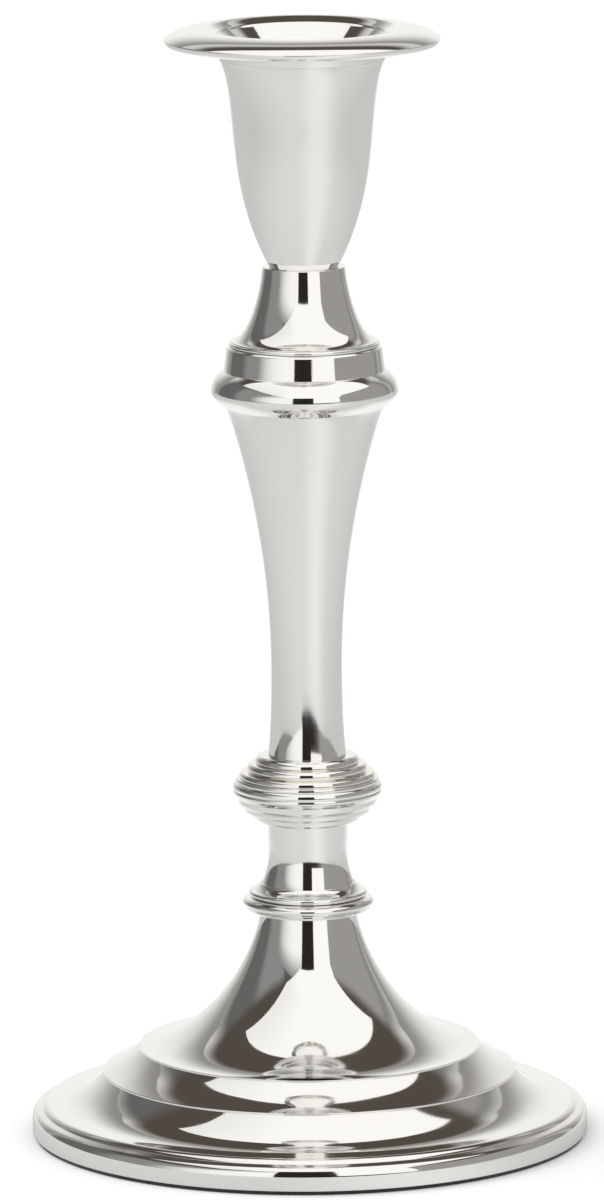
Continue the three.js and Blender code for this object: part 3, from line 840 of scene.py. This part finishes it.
def stemOutline(s):
    waist = (s["waist"], knopTop + s["waistHeight"])
    below = bend((s["foot"], knopTop), (s["waist"], knopTop + s["footPull"]), waist)
    top = (s["top"], stemTop)
    topPull = moved(top, (-s["flare"] * s["topPull"], -s["topPull"]))
    above = curve(waist, moved(waist, (0, s["waistPull"])), topPull, top, steps=48)
    recess = stemTop - stack["recessDepth"]
    bore = s["top"] - s["topLip"]
    inner = [p for p in shifted(above, -s["wall"], 0) if p[1] < recess]
    # the last stretch bends out to meet the shoulder bead
    plain = [p for p in above if p[1] < stemTop - s["fillet"]]
    lead = moved(plain[-1], (s["flare"] * s["filletLead"], s["filletLead"]))
    filletTop = (s["filletTop"], stemTop)
    fillet = curve(plain[-1], lead, moved(filletTop, s["filletPull"]), filletTop, steps=14)
    outside = below + plain[1:] + fillet[1:]
    return [(s["waist"] - s["wall"], knopTop)] + outside + [(bore, stemTop), (bore, recess)] + inner[::-1]


turnPiece("stem", stemOutline(stem), "stick", "stem", silver)

# shoulder bead, collar band and collar ring
shoulder = {"foot": 15.75, "footPull": (0.8, 0.7), "reach": 18.5, "equator": 3.27, "lowPull": 1.5,
            "highPull": 2.0, "top": 16.0, "topPull": (1.0, -0.55), "spigot": 12.98}


def shoulderOutline(s):
    heel = (s["foot"], stemTop)
    widest = (s["reach"], stemTop + s["equator"])
    top = (s["top"], shoulderTop)
    outer = curve(heel, moved(heel, s["footPull"]), moved(widest, (0, -s["lowPull"])), widest, steps=16)
    outer += curve(widest, moved(widest, (0, s["highPull"])), moved(top, s["topPull"]), top, steps=20)[1:]
    return spigotUnder(stemTop, radius=s["spigot"]) + outer + recessIn(shoulderTop)


turnPiece("shoulderBead", shoulderOutline(shoulder), "stick", "shoulder_bead", silver)

band = {"foot": 15.97, "heel": (15.9, 0.9), "top": 15.42, "edge": 0.4, "sideEase": 0.2, "topEase": 0.15}


def bandOutline(s):
    return stacked([(s["foot"], shoulderTop), moved((0, shoulderTop), s["heel"]),
                    (s["top"], bandTop - s["edge"], s["sideEase"]),
                    (s["top"] - s["edge"], bandTop, s["topEase"])])


turnPiece("collarBand", bandOutline(band), "stick", "collar_band", silver)

collar = {"reach": 14.98}


def collarOutline(s):
    edge = (collarTop - bandTop) / 2
    outer = halfRound((s["reach"] - edge, bandTop), (s["reach"] - edge, collarTop), s["reach"], steps=6)
    return [(stack["recess"], bandTop)] + outer + [(stack["recess"], collarTop)]


turnPiece("collarRing", collarOutline(collar), "stick", "collar_ring", silver)

# neck under the cup, flaring nearly level at its foot
neck = {"foot": 14.5, "footEdge": 0.15, "footPull": (-3.3, 0.32), "top": 8.2, "topPull": (0.55, -6.08),
        "topEase": 0.12}


def neckOutline(s):
    edge = (s["foot"], collarTop + s["footEdge"])
    top = (s["top"], neckTop)
    sweep = curve(edge, moved(edge, s["footPull"]), moved(top, s["topPull"]), top, steps=48)
    sweep[-1] += (s["topEase"],)
    return stacked([(s["foot"], collarTop)] + sweep, collarTop - bandTop + stack["spigotLength"])


turnPiece("neck", neckOutline(neck), "stick", "neck", silver)

# candle cup
cup = {"foot": 6.89, "footPull": (3.97, 7.39), "body": 13.5, "bodyDown": 18.25, "bodyPull": 7.0,
       "lean": 0.105, "lip": 16.55, "lipPull": (-1.95, -2.67), "wall": 1.1, "floor": 4.2}


def cupOutline(s):
    heel = (s["foot"], neckTop)
    body = (s["body"], cupTop - s["bodyDown"])
    lip = (s["lip"], cupTop)
    out, up = s["lean"] * s["bodyPull"], s["bodyPull"]
    outside = curve(heel, moved(heel, s["footPull"]), moved(body, (-out, -up)), body, steps=40)
    outside += curve(body, moved(body, (out, up)), moved(lip, s["lipPull"]), lip, steps=40)[1:]
    floorTop = neckTop + s["floor"]
    inside = [p for p in shifted(outside, -s["wall"], 0) if p[1] > floorTop]
    return spigotUnder(neckTop) + outside + inside[::-1] + [
        (inside[0][0], floorTop), (stack["rodBore"], floorTop)]


turnPiece("candleCup", cupOutline(cup), "stick", "candle_cup", silver)

# lift-off drip pan: domed flange with a turned-under edge, dipping to the mouth; heights above the table
pan = {"seatInner": 12.05, "seatOuter": 16.5, "seatEase": 0.03, "neckTop": 17.6, "underside": 219.75,
       "undersideEase": 0.3, "under": (25.9, 218.55), "underWidth": 1.3, "edge": (27.25, 219.9),
       "edgeEase": 0.35, "edgePull": (-1.45, 1.3), "crest": (19.3, 222.05), "crestPull": (3.3, 0),
       "mouth": (17.0, 221.0), "dipPulls": ((-0.6, 0), (0.9, 0.45)), "throat": (16.55, 220.5),
       "lipPulls": ((-0.2, -0.1), (0.15, 0.17)), "ledge": (13.05, 217.63), "ledgeEase": 0.1,
       "ledgeDrop": 0.8}


def panOutline(s):
    edge, crest, mouth, throat, under = s["edge"], s["crest"], s["mouth"], s["throat"], s["under"]
    (dipStart, dipEnd), (lipStart, lipEnd) = s["dipPulls"], s["lipPulls"]
    roll = quarterRound(under, (edge[0], under[1]), edge, steps=12)
    top = curve(edge, moved(edge, s["edgePull"]), moved(crest, s["crestPull"]), crest, steps=36)
    top[0] += (s["edgeEase"],)
    dip = curve(crest, moved(crest, dipStart), moved(mouth, dipEnd), mouth, steps=16)
    lip = curve(mouth, moved(mouth, lipStart), moved(throat, lipEnd), throat, steps=8)
    seat = [(s["seatInner"], cupTop), (s["seatOuter"], cupTop, s["seatEase"])]
    below = [(s["neckTop"], s["underside"], s["undersideEase"]),
             (under[0] - s["underWidth"], s["underside"], s["undersideEase"])]
    ledgeFoot = s["ledge"][1] - s["ledgeDrop"]
    ledge = [s["ledge"] + (s["ledgeEase"],), (s["ledge"][0], ledgeFoot), (s["seatInner"], ledgeFoot)]
    return seat + below + roll[:-1] + top + dip[1:] + lip[1:] + ledge


turnPiece("dripPan", panOutline(pan), "nozzle", "drip_pan", silver)

# socket tube under the pan
sleeve = {"radius": 11.9, "footEase": 0.5, "bore": 11.1, "boreEase": 0.3, "floor": 0.8, "floorEase": 0.6,
          "flange": 12.9, "flangeHeight": 0.8, "flangeEase": 0.15}


def sleeveOutline(s):
    low, top = lowOf("candle_sleeve"), highOf("candle_sleeve")
    flangeLow, floorTop = top - s["flangeHeight"], low + s["floor"]
    return [(0, low), (s["radius"], low, s["footEase"]), (s["radius"], flangeLow), (s["flange"], flangeLow),
            (s["flange"], top, s["flangeEase"]), (s["bore"], top, s["boreEase"]),
            (s["bore"], floorTop, s["floorEase"]), (0, floorTop)]


turnPiece("candleSleeve", sleeveOutline(sleeve), "nozzle", "candle_sleeve", socket,
          segments=128)

# felt pad
pad = {"radius": 55.0, "footEase": 0.25, "topEase": 0.1}


def padOutline(s):
    top = highOf("felt_pad")
    return [(0, 0), (s["radius"], 0, s["footEase"]), (s["radius"], top, s["topEase"]), (0, top)]


turnPiece("feltPad", padOutline(pad), "stick", "felt_pad", felt)

# hidden pieces keep their solids
hidden = {"base_plate": steel, "foot_weight": iron, "tie_rod": steel, "foot_washer": steel,
          "foot_nut": steel, "cup_washer": steel, "cup_nut": steel}
for nodeName, material in hidden.items():
    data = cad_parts[nodeName].data
    data.materials.clear()
    data.materials.append(material)
print("hidden pieces finished")
